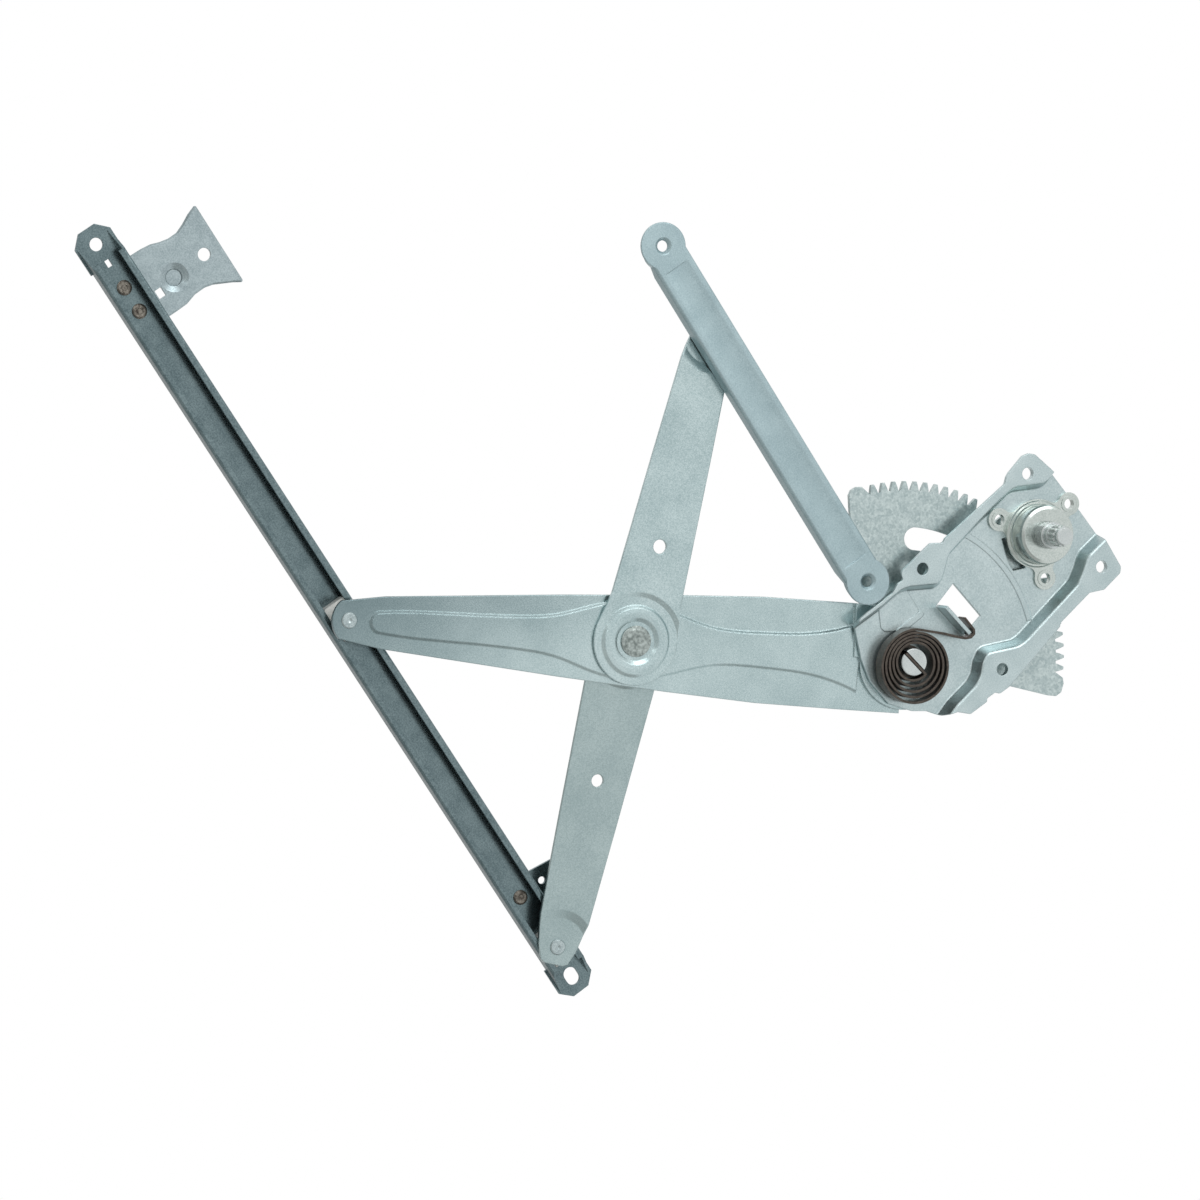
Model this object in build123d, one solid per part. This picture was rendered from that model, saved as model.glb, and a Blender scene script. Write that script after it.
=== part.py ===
from build123d import *
import math
import os

os.makedirs("parts", exist_ok=True)

# Scissor window regulator as it stands in a door, seen from the cabin side.
# X runs along the two channels, +Z is the way the glass rises, -Y points into the cabin.
# The origin lies on the crank axis, in the plane where the base plate meets the door panel.
# All lengths are in millimetres and all angles in degrees.

# Linkage
gear_module = 2.0
sector_full_teeth = 96
pinion_teeth = 8
pressure_angle = 20.0
sector_tip = 98.0
sector_root = 93.0
pinion_tip = 10.6
tip_clearance = 0.15
cut_step = 0.4
cut_steps = 15
pinion_neck_radius = 6.5
pivot_bearing = 277.5
lift_half = 158.75
lift_slope = 51.24
equalizer_half = 168.2
shoe_level_step = 0.46
equalizer_bend = 0.8

# Sheet thicknesses
plate_sheet = 2.0
sector_sheet = 2.5
lift_sheet = 2.2
equalizer_sheet = 1.8
channel_sheet = 1.4
guide_sheet = 1.3
bracket_sheet = 1.8
housing_sheet = 1.4

# Gaps between neighbours
layer_gap = 0.3
running_gap = 0.05
shoe_side_gap = 0.7
gear_backlash = 0.3

# Layers from the cabin side to the glass side
plate_depth = 8.0
joggle = 1.1
shoe_neck = 0.3
panel_raise = 1.2
panel_wall = 1.3

# Base plate
plate_hole_radius = 3.4
plate_collar_radius = 5.0
plate_collar_depth = 1.6
wall_slant = 21.2
outline_round = 2.4
floor_round = 7.0
rim_bend = 1.8
floor_bend = 1.2
bead_inner = 75.4
bead_outer = 78.5
bead_raise = 0.35
swell_raise = 0.5
tab_height = 11.0

# Crank drum
drum_flange_radius = 19.2
drum_radius = 16.4
drum_corner = 2.2
drum_height = 14.0
lip_radius = 17.8
lip_height = 0.9
ear_neck = 4.0
ear_circle = 25.0
ear_radius = 6.4
ear_hole_radius = 2.9
ear_bearing = 97.3
eyelet_head_radius = 4.6
eyelet_head = 0.35
eyelet_wall = 0.7
hub_radius = 7.0
shaft_radius = 4.0
collar_radius = 7.4
step_radius = 6.3
spline_radius = 5.9
spline_count = 12
spline_depth = 1.5
spline_length = 7.0
end_boss_radius = 5.0
end_boss = 3.4
step_length = 3.4
collar_length = 6.5
collar_rings = 3
ring_groove = 0.5
ring_pitch = 1.5
drive_disc_radius = 13.6
drive_disc = 2.0
brake_wire = 1.5
brake_turns = 3.5

# Sector
sector_teeth = 29
first_tooth_lead = 60.0
end_disc_radius = 27.0
joggle_lap = 2.2
hub_fit = 0.6
arbor_radius = 7.6
arbor_journal = 8.0
arbor_reach = 10.1
arbor_slot = 2.2
arbor_slot_depth = 9.9
arbor_slot_bearing = 11.5
arbor_tail_radius = 6.4
tail_head = 1.1
curved_slot_radius = 66.8
curved_slot_half = 6.2
curved_slot_from = 141.0
curved_slot_middle = 103.5
curved_slot_to = 66.0
arm_rivet_circle = 18.5
arm_rivet_radius = 3.0
arm_rivet_head_radius = 4.6

# Counterbalance spring
spring_strip = 1.3
spring_width = 7.7
spring_turns = 4.629
spring_inner = 9.6
spring_outer = 20.8
spring_shift_x = 3.2
spring_shift_z = -0.6
spring_start_bearing = 11.5

# Centre pivot
ring_radius = 23.7
boss_radius = 18.8
boss_inner_radius = 11.6
boss_raise = 1.3
pivot_radius = 6.0
pivot_shoulder_radius = 8.0
pivot_head_radius = 8.4
pivot_head = 1.4
washer_radius = 13.0
ring_slope = 2.6
tip_flat_radius = 15.6
tip_slope = 4.6
upper_arm_hole = 52.0
upper_arm_hole_radius = 3.8
lower_arm_hole = 77.0
lower_arm_hole_radius = 3.4

# Slider shoes and pins
shoe_length = 20.0
pin_radius = 4.0
pin_shank_radius = 3.0
pin_head_radius = 4.3
pin_head = 0.9

# Glass channel
channel_width = 20.2
channel_depth = 10.0
channel_lip = 3.8
channel_left = -406.0
channel_right = 37.5
tongue_length = 21.3
tongue_chamfer = 6.0
tongue_flare = 1.8
section_bend = 1.6
bracket_edge = 0.9
bolt_hole_radius = 3.45
slot_length = 10.2
slot_width = 7.6
rivet_radius = 2.0
rivet_head_radius = 4.0
rivet_head = 0.8
dome_radius = 7.6
dome_floor_radius = 3.4
dome_depth = 2.2

# Guide channel
guide_width = 22.0
guide_depth = 7.9
guide_lip = 3.6
guide_hole_span = 215.8
guide_right_hole = -38.2
guide_end_radius = 12.6
guide_hole_radius = 3.0
guide_dimple_radius = 4.6
guide_valley = 15.2
guide_valley_depth = 0.9
guide_valley_start = 13.5
guide_neck_start = 6.0
guide_end_run = 15.0
guide_dimple_depth = 2.6
guide_bend = 1.8


def polar(radius, bearing, centre=(0, 0)):
    angle = math.radians(bearing)
    return (centre[0] + radius * math.cos(angle), centre[1] + radius * math.sin(angle))


# Pivots
pitch_sector = gear_module * sector_full_teeth / 2
pitch_pinion = gear_module * pinion_teeth / 2
crank = (0, 0)
main_pivot = polar(pitch_sector + pitch_pinion, pivot_bearing)
centre_pivot = polar(lift_half, 180 + lift_slope, main_pivot)
lift_end = polar(2 * lift_half, 180 + lift_slope, main_pivot)
equalizer_drop = lift_half * math.sin(math.radians(lift_slope)) + shoe_level_step
equalizer_slope = math.degrees(math.asin(equalizer_drop / equalizer_half))
upper_end = polar(equalizer_half, 180 - equalizer_slope - equalizer_bend, centre_pivot)
lower_end = polar(equalizer_half, -equalizer_slope, centre_pivot)

# Depths along Y
floor_front = plate_depth
floor_back = floor_front + plate_sheet
end_front = floor_back + layer_gap
arm_front = end_front + lift_sheet
arm_back = arm_front + lift_sheet
sector_front = arm_front
sector_back = sector_front + sector_sheet
panel_front = arm_front - panel_raise
upper_ring_back = panel_front - layer_gap
upper_ring_front = upper_ring_back - equalizer_sheet
upper_front = upper_ring_front - joggle
upper_tip_front = upper_front + joggle
upper_tip_back = upper_tip_front + equalizer_sheet
lower_ring_front = arm_back + layer_gap
lower_ring_back = lower_ring_front + equalizer_sheet
lower_front = sector_back + tail_head + 1.0
lower_tip_front = lower_front + joggle
lower_tip_back = lower_tip_front + equalizer_sheet
guide_back = upper_front - layer_gap
guide_front = guide_back - guide_depth
channel_front = lower_tip_back + layer_gap
channel_back = channel_front + channel_depth
housing_front = floor_front - drum_height
flange_front = floor_front - housing_sheet
spring_front = floor_front - arbor_reach

# Inner faces of the two channels
channel_mid = lower_end[1]
guide_mid = upper_end[1]
channel_inner = channel_width - 2 * channel_sheet
guide_inner = guide_width - 2 * guide_sheet
lip_inside = channel_front + channel_sheet
web_inside = channel_back - channel_sheet
crown_inside = guide_front + guide_sheet + guide_valley_depth
guide_lip_inside = guide_back - guide_sheet

# Places of the holes and rivets
plate_holes = [(-33.3, 10.4), (-25.5, -70.5), (35.3, 19.8), (48.0, -61.1)]
ear_places = [polar(ear_circle, ear_bearing + 120 * step) for step in range(3)]
arm_rivet_places = [polar(arm_rivet_circle, pivot_bearing + 180 + turn, main_pivot)
                    for turn in (-60, 60, 180)]
bracket_middle = channel_left + 22.2
glass_hole = (channel_left - 12.0, channel_mid)
glass_slot = (channel_right + 11.3, channel_mid)
upper_rivets = [(bracket_middle - 7.9, channel_mid), (bracket_middle + 6.4, channel_mid)]
lower_rivet = (channel_right - 41.3, channel_mid)
upper_bracket_hole = (bracket_middle + 1.1, channel_mid + 45.1)
upper_bracket_slot = (bracket_middle + 4.9, channel_mid + 14.6)
upper_bracket_dome = (bracket_middle + 2.3, channel_mid + 25.4)
lower_bracket_hole = (channel_right - 41.4, channel_mid + 15.2)
guide_left_hole = guide_right_hole - guide_hole_span
guide_holes = [(guide_left_hole, guide_mid), (guide_right_hole, guide_mid)]


def slab(face, front, back):
    """Solid of a face drawn in X and Z, between two depths along Y."""
    plane = Plane(origin=(0, back, 0), x_dir=(1, 0, 0), z_dir=(0, -1, 0))
    return extrude(plane * face, back - front)


def slanted(face, front, back, slant):
    """Solid like a slab that widens by the slant towards its front."""
    plane = Plane(origin=(0, back, 0), x_dir=(1, 0, 0), z_dir=(0, -1, 0))
    return extrude(plane * face, back - front, taper=-slant)


def on_arm(along, across):
    """Point given along and across the lift arm, measured from the main pivot."""
    reach = math.hypot(along, across)
    return polar(reach, lift_slope + math.degrees(math.atan2(across, along)), main_pivot)


def disc(radius, centre, front, back):
    return slab(Pos(*centre) * Circle(radius), front, back)


def ring(outer, inner, centre, front, back):
    return disc(outer, centre, front, back) - disc(inner, centre, front, back)


def turned(profile, centre):
    """Solid of revolution about a Y axis; the profile lists (radius, depth) pairs."""
    outline = make_face(Polyline(*profile, close=True))
    body = revolve(outline, Axis.Y)
    return Pos(centre[0], 0, centre[1]) * body


def stepped_sheet(flat_radius, slope, flat_front, outer_front, sheet, reach, centre):
    """Round sheet, flat about its centre, then sloping to another depth and flat again."""
    foot = flat_radius + slope
    return turned([
        (0, flat_front), (flat_radius, flat_front), (foot, outer_front), (reach, outer_front),
        (reach, outer_front + sheet), (foot, outer_front + sheet), (flat_radius, flat_front + sheet),
        (0, flat_front + sheet)], centre)


def polygon(points):
    return make_face(Polyline(*points, close=True))


def rounded(points, radius):
    """Closed face with rounded corners, less where the sides are too short for the radius."""
    corners = []
    for index, point in enumerate(points):
        here = Vector(*point)
        before = Vector(*points[index - 1]) - here
        after = Vector(*points[(index + 1) % len(points)]) - here
        half = math.radians(before.get_angle(after)) / 2
        reach = min(radius / math.tan(half), 0.45 * before.length, 0.45 * after.length)
        inward = (before.normalized() + after.normalized()).normalized()
        near = reach / math.cos(half) - reach * math.tan(half)
        corners.append((here + before.normalized() * reach, here + inward * near,
                        here + after.normalized() * reach))
    edges = []
    for corner, following in zip(corners, corners[1:] + corners[:1]):
        edges.append(ThreePointArc(*corner))
        edges.append(Line(corner[2], following[0]))
    return make_face(Curve() + edges)


def placed(shape, centre, bearing):
    """Moves a solid drawn about the origin along +X to a pivot and a bearing in the XZ plane."""
    return Pos(centre[0], 0, centre[1]) * Rot(0, -bearing, 0) * shape


def wall_tops(body):
    """Edges in the rim's face where the slanting walls begin."""
    found = []
    for face in body.faces():
        lean = abs(face.normal_at(face.center()).Y)
        if 0.2 < lean < 0.6:
            found += [edge for edge in face.edges() if abs(edge.center().Y) < 0.01]
    return found


def base_plate():
    outline = rounded([
        (-40.2, 1.3), (-43.2, 13.1), (-42.3, 17.1), (-39.6, 19.9), (-25.3, 24.3), (-21.9, 25.8),
        (5.0, 28.8), (20.9, 30.2), (42.1, 29.8), (44.8, 27.5), (46.9, 14.3), (43.2, 5.9),
        (47.0, -18.1), (48.5, -19.1), (58.5, -63.1), (58.4, -69.9), (56.2, -71.4), (56.1, -77.5),
        (57.6, -78.4), (57.5, -90.5), (52.1, -96.1), (49.8, -103.6), (43.5, -108.5),
        (38.4, -115.7), (27.1, -124.8), (10.4, -127.2), (-2.4, -124.9), (-23.9, -116.9),
        (-24.6, -104.0), (-24.6, -92.5), (-27.2, -86.8), (-26.8, -83.4), (-30.4, -82.6),
        (-31.5, -81.1),
        (-34.6, -58.9), (-30.5, -52.6), (-31.7, -50.3), (-36.3, -4.3), (-39.1, -1.2)],
        outline_round)
    floor = rounded([
        (-23.6, 36.0), (-22.2, 26.4), (-20.4, 19.8), (-20.3, 15.2), (-28.2, -0.3), (-28.5, -3.4),
        (-25.1, -27.4), (-20.7, -51.1), (-19.3, -53.0), (-14.2, -58.7), (-10.5, -64.1),
        (-10.7, -68.5), (-18.9, -82.7), (-20.2, -87.1), (-19.3, -100.4), (-19.3, -135.0),
        (58.0, -130.0), (49.0, -104.6), (45.9, -95.0), (43.4, -79.7), (41.0, -75.1),
        (35.9, -70.3), (33.0, -65.3), (32.9, -61.5), (39.9, -45.5), (40.2, -41.9),
        (39.8, -38.5), (32.4, 1.6), (28.4, 8.1), (24.6, 12.9), (22.8, 16.4), (20.0, 36.0)],
        floor_round)
    ear_lobe = Pos(*polar(ear_circle, ear_bearing)) * Circle(ear_radius)
    whole = outline + ear_lobe
    lean = math.radians(wall_slant)
    overlap = plate_sheet / math.cos(lean) - plate_sheet * math.tan(lean)
    wall = slanted(offset(floor, overlap), 0, floor_back, wall_slant)
    hollow = slanted(floor, -1, floor_front, wall_slant)
    foot = hollow.edges().filter_by(lambda edge: abs(edge.center().Y - floor_front) < 0.01)
    hollow = fillet(foot, floor_bend)
    body = (slab(whole, 0, plate_sheet) + wall) & slab(whole, 0, floor_back)
    body = fillet(wall_tops(body - hollow), rim_bend)
    for hole in plate_holes:
        body += disc(plate_collar_radius, hole, plate_sheet / 2, plate_sheet + plate_collar_depth)
        body -= disc(plate_hole_radius, hole, -1, floor_back)
    bead_wedge = polygon([(0, 0), polar(95, 72), polar(95, 121)])
    bead = (Circle(bead_outer) - Circle(bead_inner)) & bead_wedge
    body += slab(Pos(*main_pivot) * bead, floor_front - bead_raise, floor_front + 0.5)
    swell = rounded([
        (-21.5, -82.0), (-22.0, -100.0), (-17.2, -102.8), (-10.1, -106.1), (-7.4, -105.2),
        (-3.2, -99.0), (-4.8, -82.0)], 2.0)
    body += slab(swell, floor_front - swell_raise, floor_front + 0.5)
    rib = Pos(-2.9, -90.3) * Rot(0, 0, 93) * SlotOverall(19.0, 3.6)
    body += slab(rib, floor_front - 2 * swell_raise, floor_front + 0.5)
    body -= disc(hub_radius + running_gap, crank, 0, floor_back + 1)
    body -= disc(arbor_journal + running_gap, main_pivot, 0, floor_back + 1)
    notch = polygon([(-9.0, -17.0), (-9.9, -19.1), (-3.0, -21.3), (2.9, -22.8), (9.0, -23.0),
                     (11.9, -15.8)]) - Circle(drum_radius)
    body -= slab(notch, 0, floor_back + 1)
    for ear in ear_places:
        body -= disc(ear_hole_radius + eyelet_wall, ear, 0, floor_back + 1)
    window = polygon([(-6.0, -56.8), (18.5, -52.9), (21.3, -65.0), (19.6, -68.4), (-1.5, -72.3)])
    body -= slab(window, 0, floor_back + 1)
    tab = polygon([(-0.6, -72.2), (19.6, -68.4), (19.2, -66.4), (-1.0, -70.2)])
    body += slab(tab, floor_front - tab_height, floor_back)
    return body


def crank_housing():
    inner = drum_radius - housing_sheet
    mouth = collar_radius + running_gap
    lip_edge = lip_radius + 0.8
    shell = turned([
        (mouth, housing_front), (drum_radius - drum_corner, housing_front),
        (drum_radius - 0.3 * drum_corner, housing_front + 0.3 * drum_corner),
        (drum_radius, housing_front + drum_corner), (drum_radius, flange_front - lip_height - 0.8),
        (drum_radius + 0.5, flange_front - lip_height), (lip_radius, flange_front - lip_height),
        (lip_edge, flange_front), (lip_edge, floor_front), (inner, floor_front),
        (inner, housing_front + drum_corner), (inner - 0.6, housing_front + housing_sheet + 0.4),
        (inner - drum_corner, housing_front + housing_sheet), (mouth, housing_front + housing_sheet)],
        crank)
    flange = Circle(drum_flange_radius)
    for ear in ear_places:
        flange += Pos(*ear) * Circle(ear_radius)
    flange = fillet(flange.vertices(), ear_neck)
    shell += slab(flange - Circle(inner + housing_sheet / 2), flange_front, floor_front)
    for ear in ear_places:
        shell -= disc(ear_hole_radius + eyelet_wall, ear, flange_front - 1, floor_front + 1)
    return shell


def ear_eyelets():
    bore = ear_hole_radius
    shank = ear_hole_radius + eyelet_wall
    return [turned([
        (bore, flange_front - eyelet_head), (eyelet_head_radius, flange_front - eyelet_head),
        (eyelet_head_radius, flange_front), (shank, flange_front), (shank, floor_back),
        (shank + 0.9, floor_back), (shank + 0.9, floor_back + eyelet_head),
        (bore, floor_back + eyelet_head)], ear) for ear in ear_places]


def crank_shaft():
    inside = housing_front + housing_sheet + layer_gap
    collar_front = housing_front - collar_length
    step_front = collar_front - step_length
    spline_front = step_front - spline_length
    end = spline_front - end_boss
    tail = sector_back + 1.2
    body = turned([
        (0, end), (end_boss_radius - 0.6, end), (end_boss_radius, end + 0.6),
        (end_boss_radius, spline_front), (spline_radius - 0.4, spline_front),
        (spline_radius, spline_front + 0.4), (spline_radius, step_front), (step_radius, step_front),
        (step_radius, collar_front), (collar_radius - 0.5, collar_front),
        (collar_radius, collar_front + 0.5), (collar_radius, inside), (drive_disc_radius, inside),
        (drive_disc_radius, inside + drive_disc), (shaft_radius, inside + drive_disc),
        (shaft_radius, tail), (0, tail)], crank)
    for count in range(collar_rings):
        place = collar_front + ring_pitch * (count + 1)
        body -= ring(collar_radius + 1, collar_radius - ring_groove, crank, place, place + ring_pitch / 2)
    for tooth in range(spline_count):
        bearing = 360 * tooth / spline_count
        notch = Pos(*polar(spline_radius, bearing)) * Rot(0, 0, bearing + 45) * Rectangle(
            spline_depth, spline_depth)
        body -= slab(notch, spline_front - 1, step_front - 0.8)
    return body


def involute_angle(base, radius):
    spread = math.acos(base / radius)
    return math.tan(spread) - spread


def sector_tooth(radii, backlash):
    """Half widths of one sector tooth as angles at the listed radii."""
    base = pitch_sector * math.cos(math.radians(pressure_angle))
    width = gear_module * math.pi / 2 - backlash / 2
    at_pitch = width / (2 * pitch_sector) + involute_angle(base, pitch_sector)
    return [math.degrees(at_pitch - involute_angle(base, radius)) for radius in radii]


def tooth_outline(middle, radii, backlash):
    half = sector_tooth(radii, backlash)
    rising = [polar(radius, middle + spread, main_pivot) for radius, spread in zip(radii, half)]
    falling = [polar(radius, middle - spread, main_pivot) for radius, spread in zip(radii, half)]
    return rising + falling[::-1]


def pinion_gear():
    radii = [sector_root - 1, 94.5, pitch_sector, 97.2, sector_tip + tip_clearance]
    tooth = polygon(tooth_outline(pivot_bearing - 180, radii, -gear_backlash))
    gear_ratio = sector_full_teeth / pinion_teeth
    space = Sketch()
    for step in range(-cut_steps, cut_steps + 1):
        swing = cut_step * step
        swung = Pos(*main_pivot) * Rot(0, 0, swing) * Pos(-main_pivot[0], -main_pivot[1]) * tooth
        space += Rot(0, 0, gear_ratio * swing) * swung
    blank = Circle(pinion_tip)
    for tooth_index in range(pinion_teeth):
        blank -= Rot(0, 0, 360 * tooth_index / pinion_teeth) * space
    teeth = slab(blank, sector_front - 0.5, sector_back + 0.5)
    disc_front = housing_front + 9.5
    drive = disc(drive_disc_radius - 1.5, crank, disc_front, disc_front + drive_disc)
    hub = disc(hub_radius, crank, disc_front, end_front)
    neck = disc(pinion_neck_radius, crank, end_front, sector_front - layer_gap)
    bore = disc(shaft_radius + running_gap, crank, disc_front - 1, sector_back + 1)
    return teeth + neck + hub + drive - bore


def brake_spring():
    start = housing_front + housing_sheet + drive_disc + 1.5
    coil_radius = drum_radius - housing_sheet - brake_wire / 2 - 0.4
    pitch = brake_wire + 0.2
    path = Helix(pitch, pitch * brake_turns, coil_radius)
    section = (path ^ 0) * Rectangle(brake_wire, brake_wire)
    coil = sweep(section, path)
    return Pos(0, start + brake_wire, 0) * Rot(-90, 0, 0) * coil


def sector_gear():
    radii = [sector_root, 94.5, pitch_sector, 97.2, sector_tip]
    spacing = 360 / sector_full_teeth
    first = pivot_bearing - 180 + first_tooth_lead
    lead_in = [(83.5, 168.9), (96.2, 166.3), (98.6, 165.0), (99.2, 163.0), (98.4, 161.3)]
    run_out = [(98.2, 49.3), (99.2, 47.5), (98.6, 44.6), (96.0, 43.0), (91.0, 42.6), (60.0, 42.6),
               (26.0, 25.0)]
    points = [on_arm(-19.0, -6.0), on_arm(-27.5, 4.0), on_arm(-28.5, 31.0)]
    points += [polar(radius, bearing, main_pivot) for radius, bearing in lead_in]
    for tooth in range(sector_teeth):
        outline = tooth_outline(first - tooth * spacing, radii, gear_backlash)
        points += outline
    points += [polar(radius, bearing, main_pivot) for radius, bearing in run_out]
    body = slab(polygon(points), sector_front, sector_back)
    body += disc(end_disc_radius - joggle_lap - hub_fit, main_pivot, sector_front, sector_back)
    outer = curved_slot_radius + curved_slot_half
    inner = curved_slot_radius - curved_slot_half
    wedge = polygon([(0, 0), polar(150, curved_slot_from), polar(180, curved_slot_middle),
                     polar(150, curved_slot_to)])
    banana = (Circle(outer) - Circle(inner)) & wedge
    for bearing in (curved_slot_from, curved_slot_to):
        banana += Pos(*polar(curved_slot_radius, bearing)) * Circle(curved_slot_half)
    body -= slab(Pos(*main_pivot) * banana, sector_front - 1, sector_back + 1)
    opening = polygon([polar(radius, bearing, main_pivot)
                       for radius, bearing in ((31.5, 118), (62, 119), (66, 96), (62, 76), (31.5, 76))])
    body -= slab(opening, sector_front - 1, sector_back + 1)
    body -= disc(arbor_tail_radius, main_pivot, sector_front - 1, sector_back + 1)
    for place in arm_rivet_places:
        body -= disc(arm_rivet_radius, place, sector_front - 1, sector_back + 1)
    return body


def sector_pivot():
    groove = floor_front - 2.0
    neck = arbor_radius - 1.2
    body = turned([
        (0, spring_front), (arbor_radius - 0.4, spring_front), (arbor_radius, spring_front + 0.4),
        (arbor_radius, groove), (neck, groove), (neck, groove + 1.0),
        (arbor_journal, groove + 1.0), (arbor_journal, end_front),
        (arbor_tail_radius, end_front), (arbor_tail_radius, sector_back),
        (arbor_tail_radius + 2.6, sector_back), (arbor_tail_radius + 2.0, sector_back + tail_head),
        (0, sector_back + tail_head)], main_pivot)
    slot = Pos(*main_pivot) * Rot(0, 0, arbor_slot_bearing) * Rectangle(4 * arbor_radius, arbor_slot)
    return body - slab(slot, spring_front - 1, spring_front + arbor_slot_depth)


def pivot_retainer():
    groove = floor_front - 2.0
    open_side = Pos(*main_pivot) * Rot(0, 0, 230) * Pos(8, 0) * Rectangle(16, 7.0)
    clip = ring(arbor_radius + 1.2, arbor_radius - 1.2 + running_gap, main_pivot,
                groove + 0.1, groove + 0.9)
    return clip - slab(open_side, groove - 1, groove + 2)


def spiral_point(turn, side):
    share = turn / spring_turns
    radius = spring_inner + (spring_outer - spring_inner) * share
    centre = (main_pivot[0] + spring_shift_x * share, main_pivot[1] + spring_shift_z * share)
    bearing = spring_start_bearing - 360 * turn
    return polar(radius + side * spring_strip / 2, bearing, centre)


def strip(start, end):
    """Flat length of spring strip, seen on edge, with round ends."""
    length = math.dist(start, end)
    middle = ((start[0] + end[0]) / 2, (start[1] + end[1]) / 2)
    bearing = math.degrees(math.atan2(end[1] - start[1], end[0] - start[0]))
    return Pos(*middle) * Rot(0, 0, bearing) * SlotOverall(length + spring_strip, spring_strip)


def counterbalance_spring():
    per_turn = 8
    count = round(spring_turns * per_turn)
    sides = []
    for side in (1, -1):
        arcs = []
        for step in range(count):
            start, half, end = [spring_turns * (step + part) / count for part in (0, 0.5, 1)]
            arcs.append(ThreePointArc(spiral_point(start, side), spiral_point(half, side),
                                      spiral_point(end, side)))
        sides.append(arcs)
    caps = [Line(spiral_point(turn, 1), spiral_point(turn, -1)) for turn in (0, spring_turns)]
    face = make_face(Curve() + sides[0] + sides[1] + caps)
    tail = [spiral_point(spring_turns, 0), (10.5, -80.2), (17.2, -74.0), (20.2, -70.9), (21.7, -67.8),
            (21.2, -65.2), (19.2, -64.0), (11.0, -65.0)]
    for start, end in zip(tail, tail[1:]):
        face += strip(start, end)
    face += strip(spiral_point(0, 0), polar(6.5, spring_start_bearing + 180, main_pivot))
    return slab(face, spring_front, spring_front + spring_width)


def pressed_panel(widths, nose, inset):
    """Waisted panel along -X, narrowed all round by the inset."""
    upper = [(x, z - inset) for x, z in widths]
    lower = [(x, -z) for x, z in upper[::-1]]
    start = ThreePointArc(upper[0], (widths[0][0] - nose + inset, 0), lower[-1])
    return make_face(Curve() + [Spline(*upper), Line(upper[-1], lower[0]), Spline(*lower), start])


def panel_block(widths, nose, wide_inset, narrow_inset, wide_depth, narrow_depth):
    """Pressed panel's solid, with its slanting walls between two depths."""
    plane_at = [Plane(origin=(0, depth, 0), x_dir=(1, 0, 0), z_dir=(0, -1, 0))
                for depth in (wide_depth, narrow_depth)]
    faces = [plane * pressed_panel(widths, nose, inset)
             for plane, inset in zip(plane_at, (wide_inset, narrow_inset))]
    return loft(faces, ruled=True)


def lift_arm():
    far = 2 * lift_half
    tip = far + 9.2
    side = 29.2
    half = [(far + 4.8, 10.0), (far - 18.5, 13.8), (far - 117, 21.8), (lift_half - 20, 26.0),
            (lift_half - 73, 28.8), (lift_half - 122, side)]
    edge = [(-x, z) for x, z in half]
    mirror = [(x, -z) for x, z in edge[::-1]]
    nose = ThreePointArc(edge[0], (-tip, 0), mirror[-1])
    heel = ThreePointArc((0, side), (side, 0), (0, -side))
    outline = make_face(Curve() + [
        Polyline(*edge), Line(edge[-1], (0, side)), heel, Line((0, -side), mirror[0]),
        Polyline(*mirror), nose])
    inside = end_disc_radius - joggle_lap
    beyond = polygon([(-30.5 + joggle_lap, 0), (-32 + joggle_lap, 40), (60, 40), (60, -60), (0, -60),
                      (0, 0)])
    body = slab(outline - Circle(inside) - beyond, arm_front, arm_back)
    shoulder = polygon([(-30.5, 0), (-32, side), (0, side), (0, 0)])
    end_zone = outline & (Circle(end_disc_radius) + shoulder)
    body += slab(end_zone, end_front, arm_front)
    widths = [(-far + 17, 6.1), (-far + 69, 8.3), (-far + 94, 9.3), (-lift_half - 43, 12.0),
              (-lift_half - 22, 18.5), (-lift_half, 21.0), (-lift_half + 22, 17.0),
              (-lift_half + 44, 11.0), (-lift_half + 73, 9.9), (-lift_half + 106, 12.2),
              (-27.0, 19.5)]
    nose_length = 6.1
    body += panel_block(widths, nose_length, 0, panel_wall, arm_front, panel_front) - slab(
        end_zone, panel_front - 1, arm_front)
    back_inset = panel_wall - 0.4
    body -= panel_block(widths, nose_length, back_inset, back_inset + panel_wall, arm_back,
                        arm_back - panel_raise)
    body -= disc(arbor_tail_radius, (0, 0), end_front - 1, arm_back + 1)
    body -= disc(pivot_shoulder_radius + running_gap, (-lift_half, 0), panel_front - 1, arm_back + 1)
    body -= disc(pin_shank_radius, (-far, 0), arm_front - 1, arm_back + 1)
    body = placed(body, main_pivot, lift_slope)
    for place in arm_rivet_places:
        body -= disc(arm_rivet_radius, place, end_front - 1, arm_back + 1)
    return body


def arm_rivets():
    head_back = sector_back + tail_head
    return [turned([
        (0, end_front), (arm_rivet_radius, end_front), (arm_rivet_radius, sector_back),
        (arm_rivet_head_radius, sector_back), (arm_rivet_head_radius - 0.8, head_back),
        (0, head_back)], place) for place in arm_rivet_places]


def equalizer_outline():
    end = equalizer_half
    half = [(ring_radius - 1.7, 20.0), (100.0, 16.6), (end - 15, 14.0), (end + 1, 10.8),
            (end + 8.2, 7.8)]
    lower = [(x, -z) for x, z in half[::-1]]
    nose = [(end + 9.6, 5.0), (end + 9.6, -5.0)]
    return polygon(half + nose + lower)


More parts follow.
